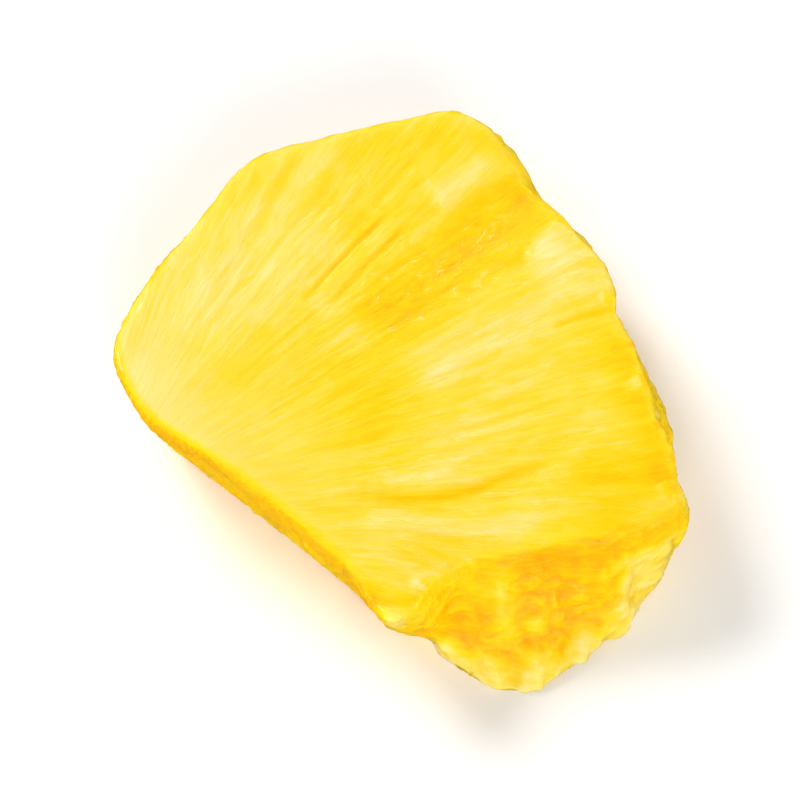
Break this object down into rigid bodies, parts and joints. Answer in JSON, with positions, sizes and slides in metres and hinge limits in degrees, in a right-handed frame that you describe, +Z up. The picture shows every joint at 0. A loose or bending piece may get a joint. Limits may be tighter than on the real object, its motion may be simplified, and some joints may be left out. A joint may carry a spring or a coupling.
{
  "type": "pineapple chunk",
  "caption": "Chunk cut from a thick round of peeled pineapple: fibrous fan-shaped cut face, straight core-side cut, lumpy rim and a ragged torn side, lying flat.",
  "frame": {"origin": "centre of the plan box, at the height of the flat cut that the chunk lies on", "axes": "+Z up, out of the shown cut face; +X to the right and +Y away from the viewer as the chunk is shown, so the fruit's axis is vertical and lies beyond the -X, -Y corner"},
  "size_m": [0.0478, 0.0494, 0.0134],
  "materials": {
    "flesh": "wet, translucent yellow fruit flesh, pale near the core and golden near the rim"
  },
  "bodies": {
    "root": {"pineapple_chunk": "flesh"}
  },
  "joints": []
}
